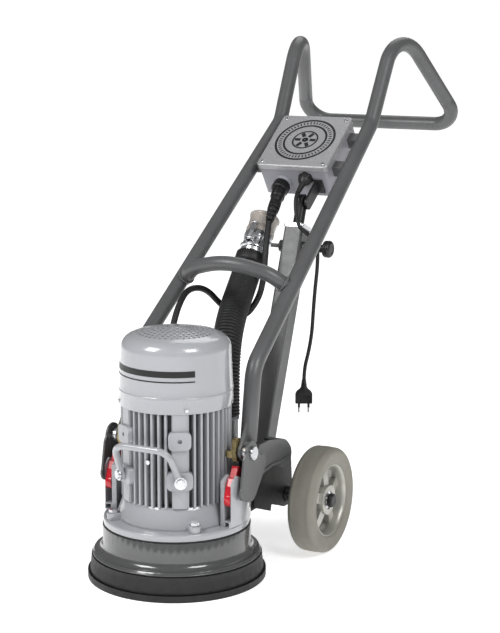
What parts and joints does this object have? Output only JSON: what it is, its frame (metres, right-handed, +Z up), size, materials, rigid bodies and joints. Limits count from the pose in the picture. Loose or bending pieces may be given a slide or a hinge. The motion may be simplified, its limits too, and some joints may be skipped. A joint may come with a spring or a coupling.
{
  "type": "concrete grinder",
  "caption": "Walk-behind disc grinder for concrete floors: finned motor on a dust hood, two wheels, braced tilting handle frame, control box and vacuum hose coupling.",
  "frame": {"origin": "centre of the footprint box on the floor", "axes": "+Y towards the operator and the handle, +X to the machine's side, +Z up"},
  "size_m": [0.412, 1.1069, 0.949],
  "materials": {
    "dark_grey_paint": "semi-gloss",
    "light_grey_paint": "satin",
    "hood_grey_paint": "gloss",
    "black_paint": "satin",
    "duct_steel": "satin",
    "skirt_rubber": "matte",
    "black_rubber": "matte",
    "tyre_rubber": "matte",
    "cast_alloy": "cast",
    "zinc_steel": "satin",
    "lid_paint": "hammered",
    "box_paint": "satin",
    "red_paint": "gloss",
    "stop_red": "gloss",
    "start_green": "gloss",
    "black_plastic": "satin",
    "clear_cuff": "translucent",
    "machine_steel": "machined",
    "diamond_metal": "sintered"
  },
  "bodies": {
    "chassis": {"axle": "zinc_steel", "axle_caps": "black_plastic", "axle_carrier": "black_paint", "brush_rim": "black_rubber", "carry_handle": "light_grey_paint", "dust_duct": "duct_steel", "dust_hood": "hood_grey_paint", "end_shield": "light_grey_paint", "fan_cover": "light_grey_paint", "hood_seal": "black_rubber", "hose": "black_rubber", "latch_brackets": "light_grey_paint", "latch_hooks": "black_paint", "motor_bearings": "zinc_steel", "motor_bolts": "zinc_steel", "motor_cable": "black_rubber", "motor_flange": "light_grey_paint", "motor_housing": "light_grey_paint", "pivot_bolts": "zinc_steel", "side_plates": "dark_grey_paint", "skirt_band": "skirt_rubber", "stator": "machine_steel", "terminal_box": "light_grey_paint", "terminal_gland": "black_plastic", "wheel_arms": "dark_grey_paint", "wheel_bearings": "zinc_steel"},
    "spindle": {"rotor": "machine_steel", "cooling_fan": "black_plastic", "tool_plate": "machine_steel", "diamond_segments": "diamond_metal"},
    "wheel_left": {"tyre_left": "tyre_rubber", "rim_left": "cast_alloy"},
    "wheel_right": {"tyre_right": "tyre_rubber", "rim_right": "cast_alloy"},
    "latch_left": {"latch_lever_left": "red_paint"},
    "latch_right": {"latch_lever_right": "red_paint"},
    "handle": {"handle_tube_left": "dark_grey_paint", "handle_tube_right": "dark_grey_paint", "handle_crossbar": "dark_grey_paint", "bow_tube": "dark_grey_paint", "control_box": "box_paint", "control_box_lid": "lid_paint", "lid_screws": "zinc_steel", "box_brackets": "dark_grey_paint", "motor_plug": "black_plastic", "cord_gland": "black_plastic", "strut_top_bracket": "black_paint", "supply_cord": "black_rubber", "mains_plug": "black_plastic"},
    "start_button": {"start_button": "start_green"},
    "stop_button": {"stop_button": "stop_red"},
    "strut_lower": {"strut_post": "dark_grey_paint", "strut_collar": "zinc_steel", "hose_coupling": "zinc_steel", "hose_clamp_cuff": "black_rubber", "vacuum_cuff": "clear_cuff"},
    "strut_upper": {"strut_tube": "black_paint"},
    "knob": {"strut_knob": "black_plastic"},
    "cam_front": {"cam_lever_front": "zinc_steel"},
    "cam_back": {"cam_lever_back": "zinc_steel"}
  },
  "joints": [
    {"name": "spindle_spin", "type": "hinge", "parent": "chassis", "child": "spindle", "pos_m": [0, -0.39445, 0.2], "axis": [0, 0, 1], "continuous": true},
    {"name": "wheel_left_spin", "type": "hinge", "parent": "chassis", "child": "wheel_left", "pos_m": [-0.179, -0.16025, 0.1], "axis": [1, 0, 0], "continuous": true},
    {"name": "wheel_right_spin", "type": "hinge", "parent": "chassis", "child": "wheel_right", "pos_m": [0.179, -0.16025, 0.1], "axis": [1, 0, 0], "continuous": true},
    {"name": "latch_left_swing", "type": "hinge", "parent": "chassis", "child": "latch_left", "pos_m": [-0.123, -0.40845, 0.165], "axis": [1, 0, 0], "range_deg": [0, 55]},
    {"name": "latch_right_swing", "type": "hinge", "parent": "chassis", "child": "latch_right", "pos_m": [0.123, -0.40845, 0.165], "axis": [1, 0, 0], "range_deg": [0, 55]},
    {"name": "handle_tilt", "type": "hinge", "parent": "chassis", "child": "handle", "pos_m": [0, -0.37985, 0.2385], "axis": [1, 0, 0], "range_deg": [0, 10], "deforming": ["hose", "motor_cable"]},
    {"name": "start_press", "type": "slide", "parent": "handle", "child": "start_button", "axis": [0, -0.8192, -0.5736], "range_m": [0, 0.004], "stiffness_N_per_m": 500},
    {"name": "stop_press", "type": "slide", "parent": "handle", "child": "stop_button", "axis": [0, -0.8192, -0.5736], "range_m": [0, 0.004], "stiffness_N_per_m": 500},
    {"name": "strut_swing", "type": "hinge", "parent": "chassis", "child": "strut_lower", "pos_m": [0.03, -0.13245, 0.13], "axis": [1, 0, 0], "range_deg": [0, 9.8]},
    {"name": "strut_slide", "type": "slide", "parent": "strut_lower", "child": "strut_upper", "axis": [0, 0.359, 0.9333], "range_m": [0, 0.0475]},
    {"name": "knob_turn", "type": "hinge", "parent": "strut_lower", "child": "knob", "pos_m": [0.1, 0.02735, 0.5453], "axis": [1, 0, 0], "range_deg": [-90, 180]},
    {"name": "cam_front_swing", "type": "hinge", "parent": "strut_lower", "child": "cam_front", "pos_m": [-0.05, -0.00899, 0.56369], "axis": [1, 0, 0], "range_deg": [0, 90]},
    {"name": "cam_back_swing", "type": "hinge", "parent": "strut_lower", "child": "cam_back", "pos_m": [-0.05, 0.04067, 0.52332], "axis": [1, 0, 0], "range_deg": [-90, 0]}
  ],
  "couplings": [
    {"joint": "strut_swing", "follows": "handle_tilt", "ratio": 0.9769},
    {"joint": "strut_slide", "follows": "handle_tilt", "m_per_rad": 0.2699}
  ]
}
